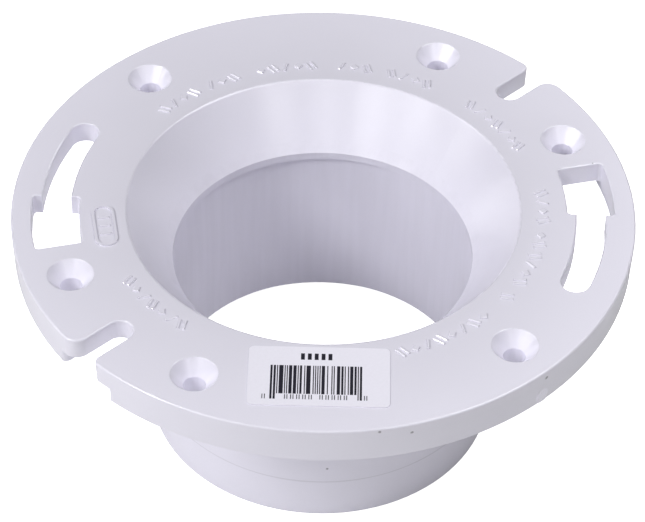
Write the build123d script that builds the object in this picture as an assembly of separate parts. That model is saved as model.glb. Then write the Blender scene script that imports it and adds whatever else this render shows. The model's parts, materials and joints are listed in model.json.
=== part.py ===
from build123d import *
import math
import os

# A one-piece plastic closet flange with its printed label.
# The bore's axis is Z, and z = 0 is the spigot's lower end. +X runs through one of the two rim notches.

# Overall sizes
overall_height = 75.0  # top face to the spigot's lower end
flange_diameter = 177.8  # 7 in, across the top face
rim_depth = 11.2  # top face to the skirt's lower edge, which rests on the floor
rim_draft = 2.0  # degrees, the mould's draft on the outline
plate_thickness = 6.6
skirt_wall = 4.6

# Waste way, from the top down
funnel_mouth_diameter = 112.4
funnel_depth = 18.0
throat_land = 2.4  # height of the lip that the pipe stops against
funnel_wall = 5.5

# Pipes that the flange joins
pipe_diameter = 88.9  # 3 in pipe, glued into the socket
pipe_clearance = 0.15  # radial, between the pipe and the socket
stop_ledge = 1.05  # how far the throat's lip reaches in over the pipe's end
socket_lead_in = 2.2  # chamfer at the socket's mouth
tube_wall = 6.2  # makes the spigot 101.6 across, which fits inside a 4 in pipe's bore of 102.3
spigot_length = 14.7  # straight stretch, up to the barrel's crease
barrel_swell = 0.6  # how far the barrel stands out over the spigot just above the crease
barrel_draft = 1.0  # degrees, the barrel widens upwards

# Floor screws
screw_circle_diameter = 152.4  # 6 in
screw_offset_angle = 20.0  # degrees from the X axis to each of the four corner screws
screw_hole_diameter = 6.2
countersink_diameter = 13.0
countersink_depth = 4.3
screw_boss_wall = 3.4

# Keyhole slots for the closet bolts
slot_circle_diameter = 152.6  # middle of the slot
slot_width = 8.3  # narrow part
slot_head_width = 13.5  # wide part, for the bolt's head
slot_tip_angle = 113.5  # degrees, centre of the narrow part's round end
slot_step_angle = 135.0  # where the narrow part meets the wide part
slot_head_angle = 150.7  # the wide part's flat end
slot_corner_radius = 1.2

# Rim notches
notch_width = 7.4
notch_depth = 16.8  # from the rim to the notch's round end
notch_wide_corner = 4.3  # rounding on the side that leads a bolt in
notch_tight_corner = 2.4
skirt_gap = 18.0  # width of the break in the skirt at each notch
skirt_end_radius = 2.2  # rounding on the skirt's outer corners at each break

# Ribs under the plate, from the hub to the skirt
rib_thickness = 3.2
rib_inset = 0.5  # ribs and bosses stop this far above the skirt's lower edge
plain_rib_angles = (45.0, 68.0, 225.0, 248.0)  # degrees; each screw boss has a rib too

# Edge roundings
rim_edge_radius = 0.6
hole_edge_radius = 0.4
mouth_edge_radius = 0.8
spigot_edge_radius = 0.6
root_fillet_radius = 1.5

# Vestige of the mould's gate, low on the rim's side
gate_angle = -91.0
gate_width = 3.2
gate_height = 4.9
gate_corner_radius = 0.9
gate_setback = 0.2  # from the rim's widest line to the vestige's face

# Raised moulding marks round the funnel's mouth
mark_offset = 6.4  # from the funnel's mouth to the middle of the marks
mark_height = 0.4
mark_length = 3.6
mark_line = 0.75  # width of a mark's strokes
mark_spread = 1.6  # between the strokes of a pair
mark_slant = 25.0  # degrees from the radius to a stroke
mark_pad = 1.9  # side of a diamond mark
mark_pitch = 3.5  # degrees from one mark to the next
# Start angle and number of marks in each run
mark_runs = (
    (17.5, 4), (35.0, 3), (50.5, 5), (72.5, 3), (85.0, 4), (168.0, 7),
    (-113.0, 8), (-79.0, 1), (-72.5, 4), (-57.5, 2), (-48.0, 4), (-18.0, 7),
)
badge_angle = 146.0  # degrees, a plain raised badge beside the slot
badge_length = 17.0
badge_width = 6.4
badge_bars = 3

# Printed label on the top face
label_length = 38.1
label_thickness = 0.2
label_angle = -134.0  # degrees, the direction from the bore's axis to the label
label_corner_radius = 1.5
label_inset = 0.5  # gap between the label and the funnel mouth's rounding
label_margin = 9.4  # from the label's outer edge to the rim

# Derived places
top_z = overall_height
underside_z = top_z - plate_thickness
floor_z = top_z - rim_depth
boss_z = floor_z + rib_inset
lip_z = top_z - funnel_depth
stop_z = lip_z - throat_land
rim_radius = flange_diameter / 2
rim_foot_radius = rim_radius - rim_depth * math.tan(math.radians(rim_draft))
skirt_inner_radius = rim_foot_radius - skirt_wall
mouth_radius = funnel_mouth_diameter / 2
throat_radius = pipe_diameter / 2 - stop_ledge
funnel_slope = (mouth_radius - throat_radius) / funnel_depth  # radius gained for each unit of height
socket_radius = pipe_diameter / 2 + pipe_clearance
spigot_radius = socket_radius + tube_wall
screw_radius = screw_circle_diameter / 2
screw_boss_radius = screw_hole_diameter / 2 + screw_boss_wall
slot_radius = slot_circle_diameter / 2
notch_end_radius = rim_radius - notch_depth
notch_centre_radius = notch_end_radius + notch_width / 2
mark_radius = mouth_radius + mark_offset
label_inner_radius = mouth_radius + mouth_edge_radius + label_inset
label_width = rim_radius - label_margin - label_inner_radius
reach = 2.0  # how far a cutter runs past the faces that it cuts
seat_sink = 0.5  # how far a rib, boss or mark is rooted in what it grows from
pick_margin = 0.1  # slack when an edge is picked by its place
screw_angles = (
    screw_offset_angle, 90.0, 180.0 - screw_offset_angle,
    180.0 + screw_offset_angle, 270.0, 360.0 - screw_offset_angle,
)
upright = (Align.CENTER, Align.CENTER, Align.MIN)


def at_polar(radius, angle, z=0.0):
    """The place at a radius and an angle round the bore, turned to face outwards."""
    return Rot(0, 0, angle) * Pos(radius, 0, z)


def plan_point(radius, angle):
    """The X and Y of the place at a radius and an angle round the bore."""
    turn = math.radians(angle)
    return radius * math.cos(turn), radius * math.sin(turn)


def profile(points):
    """A closed outline, from points given as radius and height."""
    return make_face(Polyline(*points, close=True))


def turned(outline):
    """The solid that an outline of radius and height sweeps round the bore's axis."""
    return revolve(Plane.XZ * outline, axis=Axis.Z)


def funnel_radius(z):
    """The funnel's inner radius at a height."""
    return throat_radius + (z - lip_z) * funnel_slope


def cone_radius(z):
    """The funnel's outer radius at a height, one wall outside the funnel."""
    return funnel_radius(z) + funnel_wall * math.hypot(1, funnel_slope)


def rim_outline():
    """The flange's plan: a disc with two round-ended notches and rounded notch corners."""
    notch = Pos(notch_centre_radius, 0) * Circle(notch_width / 2)
    notch += Pos(notch_centre_radius + notch_depth / 2, 0) * Rectangle(notch_depth, notch_width)
    plan = Circle(rim_radius)
    for turn in (0, 180):
        plan -= Rot(0, 0, turn) * notch
    plan = fillet([v for v in notch_corners(plan) if v.X * v.Y > 0], notch_tight_corner)
    return fillet([v for v in notch_corners(plan) if v.X * v.Y < 0], notch_wide_corner)


def notch_corners(plan):
    """The sharp corners left where the notches meet the rim."""
    return [
        v for v in plan.vertices()
        if math.hypot(v.X, v.Y) > rim_radius - pick_margin and abs(v.Y) < notch_width / 2 + pick_margin
    ]


def edges_at(shape, z):
    """The edges that lie flat at a height."""
    return [
        e for e in shape.edges()
        if abs(e.bounding_box().min.Z - z) < 1e-4 and abs(e.bounding_box().max.Z - z) < 1e-4
    ]


def flange_block():
    """The plate with its skirt, drafted so that it narrows towards the floor, open underneath."""
    prism = extrude(rim_outline(), amount=rim_depth, taper=rim_draft)
    block = Pos(0, 0, top_z) * mirror(prism, about=Plane.XY)
    block = fillet(edges_at(block, top_z), rim_edge_radius)
    hollow_height = rim_depth - plate_thickness + reach
    hollow = Pos(0, 0, floor_z - reach) * extrude(Circle(skirt_inner_radius), amount=hollow_height)
    block -= fillet(edges_at(hollow, underside_z), root_fillet_radius)
    return block - Pos(0, 0, floor_z - reach) * extrude(skirt_breaks(), amount=hollow_height)


def skirt_breaks():
    """The plan of the skirt's two breaks, which leaves the skirt's outer corners rounded."""
    across = 2 * (rim_radius + reach)
    skirt = Circle(rim_radius) - Rectangle(across, skirt_gap)
    skirt = fillet(skirt.vertices(), skirt_end_radius)
    return Rectangle(across, skirt_gap + 2 * skirt_end_radius) - skirt


def hub():
    """The funnel's outer cone, the barrel and the spigot, solid until the waste way is cut."""
    foot_z = spigot_length + barrel_swell / 2
    foot_radius = spigot_radius + barrel_swell
    head_radius = foot_radius + (underside_z - foot_z) * math.tan(math.radians(barrel_draft))
    barrel = profile([
        (0, 0),
        (spigot_radius, 0),
        (spigot_radius, spigot_length),
        (foot_radius, foot_z),
        (head_radius, underside_z),
        (0, underside_z),
    ])
    cone = profile([
        (0, stop_z),
        (cone_radius(stop_z), stop_z),
        (cone_radius(underside_z), underside_z),
        (0, underside_z),
    ])
    root_radius = max(head_radius, cone_radius(underside_z))
    collar_radius = root_radius + 2 * root_fillet_radius
    collar = profile([
        (0, underside_z),
        (collar_radius, underside_z),
        (collar_radius, underside_z + seat_sink),
        (0, underside_z + seat_sink),
    ])
    outline = barrel + cone + collar
    outline = fillet(corner_at(outline, root_radius, underside_z), root_fillet_radius)
    return turned(fillet(corner_at(outline, spigot_radius, 0), spigot_edge_radius))


def corner_at(outline, radius, z):
    """The corner of an outline at a radius and a height."""
    return [v for v in outline.vertices() if math.dist((v.X, v.Y), (radius, z)) < pick_margin]


def under_plate():
    """Screw bosses and radial ribs between the hub and the skirt."""
    height = underside_z + seat_sink - boss_z
    inner = funnel_radius(underside_z) + seat_sink
    length = skirt_inner_radius + seat_sink - inner
    rib = Box(length, rib_thickness, height, align=upright)
    boss = Cylinder(screw_boss_radius, height, align=upright)
    middle = inner + length / 2
    ribs = [at_polar(middle, angle, boss_z) * rib for angle in screw_angles + plain_rib_angles]
    return ribs + [at_polar(screw_radius, angle, boss_z) * boss for angle in screw_angles]


def waste_way():
    """Everything inside the bore: funnel, throat lip and pipe socket."""
    lead_in_radius = socket_radius + socket_lead_in
    return turned(profile([
        (0, -reach),
        (lead_in_radius + reach, -reach),
        (lead_in_radius, 0),
        (socket_radius, socket_lead_in),
        (socket_radius, stop_z),
        (throat_radius, stop_z),
        (throat_radius, lip_z),
        (mouth_radius, top_z),
        (mouth_radius, top_z + reach),
        (0, top_z + reach),
    ]))


def screw_cutter():
    """A countersunk screw hole through the plate and its boss."""
    hole_radius = screw_hole_diameter / 2
    head_radius = countersink_diameter / 2
    return turned(profile([
        (0, boss_z - reach),
        (hole_radius, boss_z - reach),
        (hole_radius, top_z - countersink_depth),
        (head_radius, top_z),
        (head_radius, top_z + reach),
        (0, top_z + reach),
    ]))


def ring_sector(width, start, end):
    """A flat band round the slot circle between two angles."""
    inner = slot_radius - width / 2
    outer = slot_radius + width / 2
    arcs = [CenterArc((0, 0), radius, start, end - start) for radius in (inner, outer)]
    ends = [Line(plan_point(inner, angle), plan_point(outer, angle)) for angle in (start, end)]
    return make_face(arcs + ends)


def keyhole_cutter():
    """A closet-bolt slot: a narrow curved part with a round end, and a wide part with a flat end."""
    head = ring_sector(slot_head_width, slot_step_angle, slot_head_angle)
    plan = fillet(head.vertices(), slot_corner_radius)
    plan += ring_sector(slot_width, slot_tip_angle, (slot_step_angle + slot_head_angle) / 2)
    plan += at_polar(slot_radius, slot_tip_angle) * Circle(slot_width / 2)
    return Pos(0, 0, floor_z - reach) * extrude(plan, amount=rim_depth + 2 * reach)


def hole_cutters():
    """The six screw holes and the two keyhole slots."""
    screws = [at_polar(screw_radius, angle) * screw_cutter() for angle in screw_angles]
    return screws + [Rot(0, 0, turn) * keyhole_cutter() for turn in (0, 180)]


def is_mouth(edge):
    """True for the funnel's upper edge."""
    return edge.geom_type == GeomType.CIRCLE and abs(edge.radius - mouth_radius) < pick_margin


def in_a_hole(edge):
    """True for the upper edges of the screw holes and the keyhole slots."""
    middle = edge @ 0.5
    place = (middle.X, middle.Y)
    screw_reach = countersink_diameter / 2 + pick_margin
    if any(math.dist(place, plan_point(screw_radius, angle)) < screw_reach for angle in screw_angles):
        return True
    angle = math.degrees(math.atan2(middle.Y, middle.X)) % 180
    tip_overhang = math.degrees(slot_width / 2 / slot_radius)
    in_span = slot_tip_angle - tip_overhang - 1 < angle < slot_head_angle + 1
    return in_span and abs(math.hypot(*place) - slot_radius) < slot_head_width / 2 + pick_margin


def stroke(length, width, x=0.0, y=0.0):
    """One raised stroke, rooted in the plate below any edge rounding, with softened upper edges."""
    root = hole_edge_radius + seat_sink
    bar = Box(length, width, mark_height + root, align=upright)
    bar = chamfer(edges_at(bar, mark_height + root), mark_height / 2)
    return Pos(x, y, -root) * bar


def mark_kinds():
    """Three plain marks: a slanted pair of strokes, a diamond, and one stroke slanted the other way."""
    slanted = Rot(0, 0, mark_slant)
    return (
        [slanted * stroke(mark_length, mark_line, y=side * mark_spread / 2) for side in (-1, 1)],
        [Rot(0, 0, 45) * stroke(mark_pad, mark_pad)],
        [Rot(0, 0, -mark_slant) * stroke(mark_length, mark_line)],
    )


def badge():
    """A plain raised oblong ring with a few plain bars inside it."""
    ring = SlotOverall(badge_length, badge_width)
    ring -= SlotOverall(badge_length - 2 * mark_line, badge_width - 2 * mark_line)
    root = hole_edge_radius + seat_sink
    frame = Rot(0, 0, 90) * Pos(0, 0, -root) * extrude(ring, amount=mark_height + root)
    pitch = badge_length / (badge_bars + 2)
    first = -(badge_bars - 1) / 2 * pitch
    bars = [stroke(badge_width / 2, mark_line, y=first + index * pitch) for index in range(badge_bars)]
    return [at_polar(mark_radius, badge_angle, top_z) * piece for piece in [frame] + bars]


def raised_marks():
    """The short runs of marks and the badge, kept off every hole and notch."""
    kinds = mark_kinds()
    marks = badge()
    for start, count in mark_runs:
        for index in range(count):
            place = at_polar(mark_radius, start + index * mark_pitch, top_z)
            marks += [place * piece for piece in kinds[index % len(kinds)]]
    plate = Pos(0, 0, underside_z) * extrude(rim_outline(), amount=plate_thickness + reach)
    return ((Part() + marks) & plate) - hole_cutters()


def gate_vestige():
    """The low pad left where the moulding was broken from its feed."""
    outline = RectangleRounded(gate_height, gate_width, gate_corner_radius)
    depth = rim_radius - gate_setback - rim_foot_radius + seat_sink
    pad = Rot(0, 90, 0) * extrude(outline, amount=depth)
    return at_polar(rim_foot_radius - seat_sink, gate_angle, floor_z + gate_height / 2) * pad


def flange_body():
    body = flange_block() + hub() + under_plate()
    body -= [waste_way()] + hole_cutters()
    body = fillet([e for e in edges_at(body, top_z) if is_mouth(e)], mouth_edge_radius)
    body = fillet([e for e in edges_at(body, top_z) if in_a_hole(e)], hole_edge_radius)
    return body + raised_marks() + gate_vestige()


def barcode_label():
    outline = RectangleRounded(label_width, label_length, label_corner_radius)
    place = at_polar(label_inner_radius + label_width / 2, label_angle, top_z)
    return place * extrude(outline, amount=label_thickness)


def main():
    os.makedirs("parts", exist_ok=True)
    nodes = {"flange_body": flange_body(), "barcode_label": barcode_label()}
    for name, shape in nodes.items():
        export_step(shape, f"parts/{name}.step")
        print(name, round(shape.volume), "mm3", shape.bounding_box())


main()
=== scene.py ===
import bpy
import json
import math
from mathutils import Matrix, Vector


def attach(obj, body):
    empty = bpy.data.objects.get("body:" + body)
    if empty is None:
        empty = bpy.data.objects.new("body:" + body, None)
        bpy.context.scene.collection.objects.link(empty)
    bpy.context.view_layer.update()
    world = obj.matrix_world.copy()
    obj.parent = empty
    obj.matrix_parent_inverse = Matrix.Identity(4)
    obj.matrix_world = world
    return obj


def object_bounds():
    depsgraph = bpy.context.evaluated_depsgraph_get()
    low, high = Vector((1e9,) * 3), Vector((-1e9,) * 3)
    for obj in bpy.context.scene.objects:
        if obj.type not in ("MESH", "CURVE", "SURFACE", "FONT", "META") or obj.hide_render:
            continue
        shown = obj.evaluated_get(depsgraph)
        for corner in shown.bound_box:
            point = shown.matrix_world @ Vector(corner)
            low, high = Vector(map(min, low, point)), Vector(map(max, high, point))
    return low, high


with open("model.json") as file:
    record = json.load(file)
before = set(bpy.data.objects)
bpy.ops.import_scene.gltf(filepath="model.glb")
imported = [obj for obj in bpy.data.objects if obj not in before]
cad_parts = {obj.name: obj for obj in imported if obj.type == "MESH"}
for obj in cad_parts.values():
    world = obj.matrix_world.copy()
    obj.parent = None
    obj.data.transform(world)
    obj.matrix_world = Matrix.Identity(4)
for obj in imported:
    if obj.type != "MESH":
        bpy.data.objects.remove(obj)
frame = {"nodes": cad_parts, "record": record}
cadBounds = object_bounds()  # the CAD model's own box, before anything is added
bpy.ops.object.select_all(action="DESELECT")
print("frame loaded")

mm = 0.001
mounts = {mount["name"]: mount for mount in frame["record"]["mounts"]}
topHeight = mounts["toilet_seat_face"]["pos_m"][2]  # the plate's flat top face
skirtFoot = mounts["floor_face"]["pos_m"][2]  # the skirt's lower edge
spigotRadius = mounts["spigot"]["dims"]["r_mm"] * mm
socketRadius = mounts["pipe_socket"]["dims"]["r_mm"] * mm
rimRadius = -cadBounds[0].y
topCentre = Vector((0, 0, topHeight))
viewAzimuth = -43.717  # degrees round from looking along +Y


def sideDirection(azimuth, elevation):
    turn, rise = math.radians(azimuth), math.radians(elevation)
    return Vector((math.sin(turn) * math.cos(rise), -math.cos(turn) * math.cos(rise), math.sin(rise)))


def placeAt(radius, angle, height):
    turn = math.radians(angle)
    return Vector((radius * math.cos(turn), radius * math.sin(turn), height))


# Node helpers: each returns the socket that the next one reads
def newMaterial(name):
    material = bpy.data.materials.new(name)
    material.use_nodes = True
    return material, material.node_tree, material.node_tree.nodes["Principled BSDF"]


def feed(tree, value, socket):
    if isinstance(value, bpy.types.NodeSocket):
        tree.links.new(value, socket)
    else:
        socket.default_value = value


def objectPlace(tree):
    return tree.nodes.new("ShaderNodeTexCoord").outputs["Object"]


def calculate(tree, operation, first, second=0.0):
    node = tree.nodes.new("ShaderNodeMath")
    node.operation = operation
    feed(tree, first, node.inputs[0])
    feed(tree, second, node.inputs[1])
    return node.outputs[0]


def ramp(tree, value, fromLow, fromHigh, toLow, toHigh):
    node = tree.nodes.new("ShaderNodeMapRange")
    feed(tree, value, node.inputs["Value"])
    limits = {"From Min": fromLow, "From Max": fromHigh, "To Min": toLow, "To Max": toHigh}
    for name, limit in limits.items():
        node.inputs[name].default_value = limit
    return node.outputs["Result"]


def vectorNode(tree, operation, place, other=None):
    node = tree.nodes.new("ShaderNodeVectorMath")
    node.operation = operation
    feed(tree, place, node.inputs[0])
    if other is not None:
        node.inputs[1].default_value = other
    return node


def scaled(tree, place, factors):
    return vectorNode(tree, "MULTIPLY", place, factors).outputs["Vector"]


def lengthOf(tree, place):
    return vectorNode(tree, "LENGTH", place).outputs["Value"]


def distanceTo(tree, place, spot):
    return vectorNode(tree, "DISTANCE", place, spot).outputs["Value"]


softDetail, plainDetail, sharpDetail = 1.0, 2.0, 3.0  # how many finer layers a noise has


def grain(tree, place, size, detail=plainDetail):
    node = tree.nodes.new("ShaderNodeTexNoise")
    feed(tree, place, node.inputs["Vector"])
    node.inputs["Scale"].default_value = 1 / size
    node.inputs["Detail"].default_value = detail
    return node.outputs["Fac"]


# Noise keeps near its middle value; the narrower the spread, the stronger the pattern
fullSpread = (0.0, 1.0)
middleSpread = (0.3, 0.7)
narrowSpread = (0.35, 0.65)


def mottle(tree, place, size, detail, spread, tones):
    return ramp(tree, grain(tree, place, size, detail), *spread, *tones)


def tinted(tree, colour, tone):
    node = tree.nodes.new("ShaderNodeMix")
    node.data_type = "RGBA"
    node.blend_type = "MULTIPLY"
    node.inputs[0].default_value = 1.0  # the mix factor
    base, factor = [socket for socket in node.inputs if socket.type == "RGBA"]
    base.default_value = colour
    tree.links.new(tone, factor)
    return [socket for socket in node.outputs if socket.type == "RGBA"][0]


def raised(tree, height, depth, strength=1.0, under=None):
    node = tree.nodes.new("ShaderNodeBump")
    feed(tree, height, node.inputs["Height"])
    node.inputs["Distance"].default_value = depth
    feed(tree, strength, node.inputs["Strength"])
    if under:
        tree.links.new(under, node.inputs["Normal"])
    return node.outputs["Normal"]


def paint(piece, material):
    piece.data.materials.clear()
    piece.data.materials.append(material)


# Moulded PVC, white with a faint violet tint
pvcLook = {
    "colour": (0.852, 0.834, 0.94, 1),
    "roughness": (0.21, 0.28),
    "roughnessSize": 9 * mm,
    "gloss": 1.0,
    "topSkin": 0.1 * mm,     # how far below the flat top face still counts as the top
    "mouthPaintedShade": 0.89,       # painted shade: the plate's top is painted darker near the funnel's mouth and lighter towards the rim
    "mouthRadius": 56 * mm,
    "broadSize": 30 * mm,
    "broadTone": (0.975, 1.015),
    "fineSize": 0.5 * mm,
    "fineTone": (0.992, 1.006),
    "waveSize": 11 * mm,
    "waveDepth": 0.07 * mm,
    "grainSize": 0.35 * mm,
    "grainDepth": 0.006 * mm,
    "streakSize": 2.2 * mm,
    "streakStretch": 0.06,   # streaks run down the bore, so the pattern is drawn out along Z
    "streakTone": (0.98, 1.006),
    "wallMargin": 1 * mm,    # tells the bore's wall from the barrel's outside
    "creaseHeight": 13.9 * mm,  # painted shadow in the crease where the barrel meets the spigot
    "creaseReach": 0.45 * mm,
    "creaseCore": 0.3,       # share of the reach that is at its darkest
    "creaseShadeTone": 0.86,
    "creaseShadeSize": 14 * mm,    # the painted shadow comes and goes along the crease
    "creaseShadeSpread": (0.6, 1.0),
}

# Small dark flecks in the surface: distance from the axis, angle, height and radius
flecks = (
    {"radius": rimRadius, "angle": -123.4, "height": topHeight - 1.0 * mm, "size": 0.46 * mm},
    {"radius": rimRadius, "angle": -117.7, "height": topHeight - 3.1 * mm, "size": 0.46 * mm},
    {"radius": spigotRadius + 0.7 * mm, "angle": -130.9, "height": 20.2 * mm, "size": 0.40 * mm},
    {"radius": 78.0 * mm, "angle": -61.0, "height": topHeight, "size": 0.24 * mm},
    {"radius": 80.5 * mm, "angle": -29.0, "height": topHeight, "size": 0.22 * mm},
)

fleckLook = {
    "tone": 0.42,
    "wobbleSize": 0.3 * mm,  # makes each fleck's outline uneven
    "solid": 1.1,            # in fleck radii, with the wobble added
    "faded": 1.7,
}

# The scar where the moulding was filled, with a small pit above it
gateLook = {
    "angle": -91.0,
    "height": skirtFoot + 2.3 * mm,
    "reach": 2.6 * mm,
    "core": 0.75,            # share of the reach at full strength
    "tone": 1.14,
    "grooveSize": 0.45 * mm,
    "grooveDepth": 0.25 * mm,
    "grooveStretch": 0.2,    # the grooves run up and down
    "pit": {"radius": rimRadius, "angle": -90.4, "height": topHeight - 2.6 * mm, "size": 0.6 * mm},
}


def fleckTone(tree, place, spots, look):
    wobble = grain(tree, place, look["wobbleSize"])
    together = None
    for spot in spots:
        centre = placeAt(spot["radius"], spot["angle"], spot["height"])
        away = calculate(tree, "DIVIDE", distanceTo(tree, place, centre), spot["size"])
        away = calculate(tree, "ADD", away, wobble)
        shade = ramp(tree, away, look["solid"], look["faded"], look["tone"], 1.0)
        together = shade if together is None else calculate(tree, "MULTIPLY", together, shade)
    return together


# Painted shadow: a thin dark line at the crease under the barrel's small step, patchy along the crease
def paintedCreaseShade(tree, place, radius, height, look):
    away = calculate(tree, "ABSOLUTE", calculate(tree, "SUBTRACT", height, look["creaseHeight"]))
    inside = calculate(tree, "LESS_THAN", radius, spigotRadius - look["wallMargin"])
    away = calculate(tree, "ADD", away, inside)
    patchy = mottle(tree, place, look["creaseShadeSize"], plainDetail, narrowSpread, look["creaseShadeSpread"])
    away = calculate(tree, "DIVIDE", away, patchy)
    reach = look["creaseReach"]
    return ramp(tree, away, reach * look["creaseCore"], reach, look["creaseShadeTone"], 1.0)


def boreStreaks(tree, place, radius, look):
    drawn = scaled(tree, place, (1, 1, look["streakStretch"]))
    streak = mottle(tree, drawn, look["streakSize"], plainDetail, narrowSpread, look["streakTone"])
    inBore = calculate(tree, "LESS_THAN", radius, socketRadius + look["wallMargin"])
    change = calculate(tree, "MULTIPLY", inBore, calculate(tree, "SUBTRACT", streak, 1.0))
    return calculate(tree, "ADD", change, 1.0)


def pvcTone(tree, place, radius, height, look):
    # Painted shade: the flat top is darker near the funnel's mouth and lighter towards the rim
    onTop = calculate(tree, "GREATER_THAN", height, topHeight - look["topSkin"])
    paintedMouthShade = ramp(tree, radius, look["mouthRadius"], rimRadius, 1 - look["mouthPaintedShade"], 0.0)
    tone = calculate(tree, "SUBTRACT", 1.0, calculate(tree, "MULTIPLY", onTop, paintedMouthShade))
    broad = mottle(tree, place, look["broadSize"], softDetail, fullSpread, look["broadTone"])
    fine = mottle(tree, place, look["fineSize"], sharpDetail, middleSpread, look["fineTone"])
    streak = boreStreaks(tree, place, radius, look)
    creaseShade = paintedCreaseShade(tree, place, radius, height, look)
    for part in (broad, fine, streak, creaseShade, fleckTone(tree, place, flecks, fleckLook)):
        tone = calculate(tree, "MULTIPLY", tone, part)
    return tone


def gatePatch(tree, place, look):
    centre = placeAt(rimRadius, look["angle"], look["height"])
    away = distanceTo(tree, place, centre)
    return ramp(tree, away, look["reach"] * look["core"], look["reach"], 1.0, 0.0)


def pvcMaterial(look):
    material, tree, shader = newMaterial("mouldedPvc")
    place = objectPlace(tree)
    split = tree.nodes.new("ShaderNodeSeparateXYZ")
    tree.links.new(place, split.inputs[0])
    radius = lengthOf(tree, scaled(tree, place, (1, 1, 0)))
    patch = gatePatch(tree, place, gateLook)
    tone = pvcTone(tree, place, radius, split.outputs["Z"], look)
    tone = calculate(tree, "MULTIPLY", tone, fleckTone(tree, place, (gateLook["pit"],), fleckLook))
    lift = calculate(tree, "ADD", calculate(tree, "MULTIPLY", patch, gateLook["tone"] - 1), 1.0)
    tone = calculate(tree, "MULTIPLY", tone, lift)
    tree.links.new(tinted(tree, look["colour"], tone), shader.inputs["Base Color"])
    rough = mottle(tree, place, look["roughnessSize"], softDetail, fullSpread, look["roughness"])
    tree.links.new(rough, shader.inputs["Roughness"])
    wave = raised(tree, grain(tree, place, look["waveSize"], softDetail), look["waveDepth"])
    pores = grain(tree, place, look["grainSize"], sharpDetail)
    fine = raised(tree, pores, look["grainDepth"], under=wave)
    grooves = grain(tree, scaled(tree, place, (1, 1, gateLook["grooveStretch"])), gateLook["grooveSize"])
    shaped = raised(tree, grooves, gateLook["grooveDepth"], strength=patch, under=fine)
    tree.links.new(shaped, shader.inputs["Normal"])
    shader.inputs["Specular IOR Level"].default_value = look["gloss"]
    return material


flangeBody = frame["nodes"]["flange_body"]
paint(flangeBody, pvcMaterial(pvcLook))
print("flange painted")

# The label's film and its printing
labelLook = {
    "colour": (0.86, 0.845, 0.94, 1),
    "roughness": (0.34, 0.42),
    "roughnessSize": 4 * mm,
    "fibreSize": 0.8 * mm,
    "tone": (0.985, 1.01),
    "creaseSize": 7 * mm,
    "creaseDepth": 0.05 * mm,
    "grainSize": 0.25 * mm,
    "grainDepth": 0.004 * mm,
}

inkLook = {
    "colour": (0.008, 0.007, 0.018, 1),
    "roughness": 0.55,
    "patchSize": 0.2 * mm,
    "tone": (0.8, 1.3),
    "grainSize": 0.15 * mm,
    "grainDepth": 0.003 * mm,
}


def labelMaterial(look):
    material, tree, shader = newMaterial("labelFilm")
    place = objectPlace(tree)
    tone = mottle(tree, place, look["fibreSize"], sharpDetail, middleSpread, look["tone"])
    tree.links.new(tinted(tree, look["colour"], tone), shader.inputs["Base Color"])
    rough = mottle(tree, place, look["roughnessSize"], plainDetail, middleSpread, look["roughness"])
    tree.links.new(rough, shader.inputs["Roughness"])
    crease = raised(tree, grain(tree, place, look["creaseSize"], softDetail), look["creaseDepth"])
    fine = raised(tree, grain(tree, place, look["grainSize"]), look["grainDepth"], under=crease)
    tree.links.new(fine, shader.inputs["Normal"])
    return material


def inkMaterial(look):
    material, tree, shader = newMaterial("printedInk")
    place = objectPlace(tree)
    tone = mottle(tree, place, look["patchSize"], sharpDetail, middleSpread, look["tone"])
    tree.links.new(tinted(tree, look["colour"], tone), shader.inputs["Base Color"])
    shader.inputs["Roughness"].default_value = look["roughness"]
    fine = raised(tree, grain(tree, place, look["grainSize"]), look["grainDepth"])
    tree.links.new(fine, shader.inputs["Normal"])
    return material


labelNode = frame["nodes"]["barcode_label"]
paint(labelNode, labelMaterial(labelLook))
labelCorners = [labelNode.matrix_world @ vertex.co for vertex in labelNode.data.vertices]
labelTop = max(corner.z for corner in labelCorners)
labelMiddle = sum(labelCorners, Vector()) / len(labelCorners)
labelAngle = math.atan2(labelMiddle.y, labelMiddle.x)

# Printing in the label's own directions: out from the bore's axis, and round it
printing = {
    "thickness": 0.02 * mm,
    "sink": 0.01 * mm,          # how deep the ink sits in the film
    "bevel": 0.25,              # share of the thickness
    "inner": 64.6 * mm,         # inner end of the bars, from the bore's axis
    "barLength": 10.6 * mm,
    "guardLength": 12.6 * mm,
    "width": 24.6 * mm,
    "shift": -0.75 * mm,
    "guards": 2,                # bars at each end that run on past the rest
    "upperBlock": (2.4 * mm, 1.05 * mm),
    "upperPitch": 1.85 * mm,
    "upperPlaces": (-2, -1, 0, 1, 2),  # in pitches from the middle
    "upperOut": 61.2 * mm,
    "lowerBlock": (1.7 * mm, 0.24 * mm),
    "lowerPitch": 1.62 * mm,
    "lowerPlaces": (-8.6, -4.9, -3.9, -2.9, -1.9, -0.9, 0.9, 1.9, 2.9, 3.9, 4.9, 8.2),
    "lowerPair": 0.2,           # each lower place has two thin blocks, this many pitches to each side
    "lowerOut": 76.3 * mm,
}
modelWidth = 1 * mm  # of the one bar that the others are copied from
# Widths of a bar and of the gap after it, in turn; the pattern is made up
barPattern = (2, 1, 2, 1, 1, 1, 4, 1, 1, 1, 1, 1, 3, 1, 3, 1, 1, 1, 2, 2, 1, 1, 4, 2, 1, 1, 1, 1,
              1, 1, 1, 1, 3, 2, 1, 3, 1, 1, 1, 2, 3, 1, 2, 1, 1, 2, 1, 1, 3, 1, 2, 1, 1, 1, 2)


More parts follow.
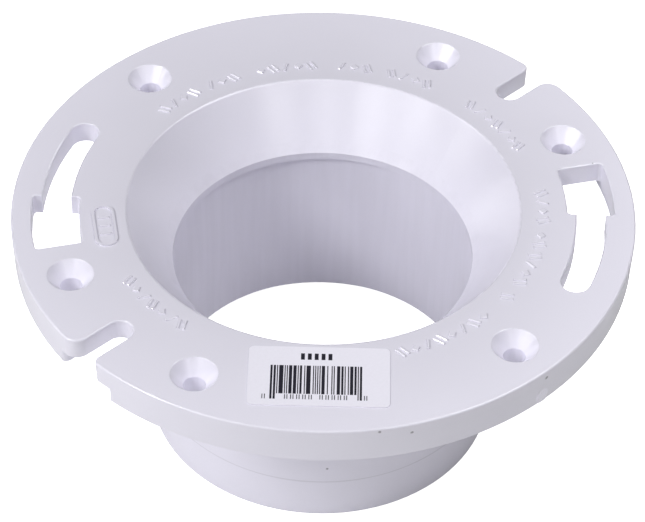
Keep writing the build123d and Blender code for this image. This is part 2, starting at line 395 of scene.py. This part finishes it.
def modelInkBar(length, width):
    bpy.ops.mesh.primitive_cube_add(size=1)
    bar = bpy.context.object
    bar.scale = (length, width, printing["thickness"])
    bpy.ops.object.transform_apply(location=False, rotation=False, scale=True)
    bpy.ops.object.mode_set(mode="EDIT")
    bpy.ops.mesh.select_all(action="DESELECT")
    bpy.ops.object.mode_set(mode="OBJECT")
    upwards = 0.9  # the least upward part of a top face's normal
    for face in bar.data.polygons:
        face.select = face.normal.z > upwards
    bpy.ops.object.mode_set(mode="EDIT")
    bpy.ops.mesh.bevel(offset=printing["thickness"] * printing["bevel"], segments=1)
    bpy.ops.object.mode_set(mode="OBJECT")
    return bar


def inkCopy(model, size, out, across, length, width):
    copy = model.copy()
    copy.data = model.data.copy()
    bpy.context.collection.objects.link(copy)
    copy.location = (out, across, 0)
    copy.scale = (length / size[0], width / size[1], 1)
    return copy


def printBars(model, size):
    look = printing
    module = look["width"] / sum(barPattern)
    bars = len(barPattern[::2])
    made = []
    across = look["shift"] - look["width"] / 2
    for index, width in enumerate(barPattern):
        if index % 2 == 0:
            edge = min(index // 2, bars - 1 - index // 2)
            length = look["guardLength"] if edge < look["guards"] else look["barLength"]
            middle = across + width * module / 2
            made.append(inkCopy(model, size, look["inner"] + length / 2, middle, length, width * module))
        across += width * module
    return made


def printRow(model, size, row, places):
    out, block, pitch = (printing[row + part] for part in ("Out", "Block", "Pitch"))
    return [inkCopy(model, size, out, printing["shift"] + place * pitch, *block) for place in places]


def pairedPlaces(places, apart):
    return [place + side for place in places for side in (-apart, apart)]


def printLabel():
    look = printing
    size = (look["barLength"], modelWidth)
    model = modelInkBar(*size)
    made = printBars(model, size)
    pairs = pairedPlaces(look["lowerPlaces"], look["lowerPair"])
    made += printRow(model, size, "upper", look["upperPlaces"])
    made += printRow(model, size, "lower", pairs)
    bpy.data.objects.remove(model)
    bpy.ops.object.select_all(action="DESELECT")
    for piece in made:
        piece.select_set(True)
    bpy.context.view_layer.objects.active = made[0]
    bpy.ops.object.join()
    ink = bpy.context.object
    ink.name = "barcode_print"
    bpy.ops.object.transform_apply(location=True, rotation=True, scale=True)
    lift = labelTop + look["thickness"] / 2 - look["sink"]
    ink.matrix_world = Matrix.Translation((0, 0, lift)) @ Matrix.Rotation(labelAngle, 4, "Z")
    bpy.ops.object.transform_apply(location=True, rotation=True, scale=True)
    paint(ink, inkMaterial(inkLook))
    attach(ink, "root")
    ink.select_set(False)


printLabel()
print("label printed")

# Studio
cameraSetup = {
    "elevation": 42.075,
    "distance": 0.8062,   # metres to the middle of the top face
    "lens": 157.8,
    "sensorWidth": 36,
    "tilt": -1.132,       # degrees, looks a little below the top face
    "roll": 1.129,
}


def addCamera(setup):
    back = sideDirection(viewAzimuth, setup["elevation"])
    bpy.ops.object.camera_add()
    camera = bpy.context.object
    camera.name = "camera"
    aim = (-back).to_track_quat("-Z", "Y").to_matrix()
    tilt = Matrix.Rotation(math.radians(setup["tilt"]), 3, "X")
    roll = Matrix.Rotation(math.radians(setup["roll"]), 3, "Z")
    stand = Matrix.Translation(topCentre + back * setup["distance"])
    camera.matrix_world = stand @ (aim @ tilt @ roll).to_4x4()
    camera.data.lens = setup["lens"]
    camera.data.sensor_width = setup["sensorWidth"]
    bpy.context.scene.camera = camera


addCamera(cameraSetup)
print("camera placed")

# A floor that looks plain white from above and is clear from below; its colour is painted darker under
# the bore as painted shade
floorLook = {
    "size": 6.0,
    "colour": (0.9, 0.9, 0.9, 1),
    "roughness": 0.9,
    "drop": 0.05 * mm,      # keeps the floor clear of the spigot's lower end
    "boreShadeTone": 0.55,
    "fadeMargin": 4 * mm,   # past the spigot, where the floor is back to its full tone
}


def seenDirectly(tree):
    return tree.nodes.new("ShaderNodeLightPath").outputs["Is Camera Ray"]


def clearFromBelow(tree, shader):
    backFace = tree.nodes.new("ShaderNodeNewGeometry").outputs["Backfacing"]
    clear = tree.nodes.new("ShaderNodeBsdfTransparent")
    either = tree.nodes.new("ShaderNodeMixShader")
    tree.links.new(backFace, either.inputs["Fac"])
    tree.links.new(shader.outputs["BSDF"], either.inputs[1])
    tree.links.new(clear.outputs["BSDF"], either.inputs[2])
    tree.links.new(either.outputs["Shader"], tree.nodes["Material Output"].inputs["Surface"])


def addFloor(look):
    bpy.ops.mesh.primitive_plane_add(size=look["size"], location=(0, 0, cadBounds[0].z - look["drop"]))
    floor = bpy.context.object
    floor.name = "floor"
    material, tree, shader = newMaterial("whiteSweep")
    fromAxis = lengthOf(tree, objectPlace(tree))
    # painted shade: the floor's colour is darker inside the bore, fading out past the spigot
    tone = ramp(tree, fromAxis, socketRadius, spigotRadius + look["fadeMargin"], look["boreShadeTone"], 1.0)
    tree.links.new(tinted(tree, look["colour"], tone), shader.inputs["Base Color"])
    shader.inputs["Roughness"].default_value = look["roughness"]
    shader.inputs["Emission Color"].default_value = (1, 1, 1, 1)
    tree.links.new(seenDirectly(tree), shader.inputs["Emission Strength"])
    clearFromBelow(tree, shader)
    paint(floor, material)


addFloor(floorLook)

# Soft round lamps; azimuth is measured from the camera's side, positive to its right
lampAim = Vector((0, 0, 0.06))
lamps = (
    {"name": "key_left", "azimuth": -60, "elevation": 40, "distance": 1.3, "size": 0.38, "power": 7.4},
    {"name": "far_left", "azimuth": -90, "elevation": 30, "distance": 1.3, "size": 0.5, "power": 2.9},
    {"name": "front_left", "azimuth": -30, "elevation": 38, "distance": 1.3, "size": 0.45, "power": 1.7},
    {"name": "front", "azimuth": 0, "elevation": 38, "distance": 1.3, "size": 0.4, "power": 0.7},
    {"name": "front_right", "azimuth": 30, "elevation": 38, "distance": 1.3, "size": 0.45, "power": 1.2},
    {"name": "right", "azimuth": 60, "elevation": 44, "distance": 1.3, "size": 0.5, "power": 1.1},
    {"name": "near_right", "azimuth": 98, "elevation": 58, "distance": 0.42, "size": 0.25, "power": 0.58},
    {"name": "back_right", "azimuth": 125, "elevation": 65, "distance": 1.3, "size": 0.5, "power": 1.2},
    {"name": "overhead", "azimuth": 0, "elevation": 88, "distance": 1.3, "size": 0.5, "power": 1.1},
)


def addLamp(lamp):
    back = sideDirection(viewAzimuth + lamp["azimuth"], lamp["elevation"])
    bpy.ops.object.light_add(type="AREA", location=lampAim + back * lamp["distance"])
    light = bpy.context.object
    light.name = lamp["name"]
    light.rotation_euler = (-back).to_track_quat("-Z", "Y").to_euler()
    light.data.shape = "DISK"
    light.data.size = lamp["size"]
    light.data.energy = lamp["power"]


for lamp in lamps:
    addLamp(lamp)


skyLook = {
    "colour": (1, 1, 1, 1),
    "seenStrength": 1.0,
    "litStrength": 0.01,  # what it adds to the lamps' light
}


def addSky(look):
    world = bpy.data.worlds.new("studio")
    bpy.context.scene.world = world
    world.use_nodes = True
    tree = world.node_tree
    sky = tree.nodes["Background"]
    sky.inputs["Color"].default_value = look["colour"]
    strength = ramp(tree, seenDirectly(tree), 0.0, 1.0, look["litStrength"], look["seenStrength"])
    tree.links.new(strength, sky.inputs["Strength"])


addSky(skyLook)
bpy.context.scene.view_settings.view_transform = "Standard"
print("floor and light set")
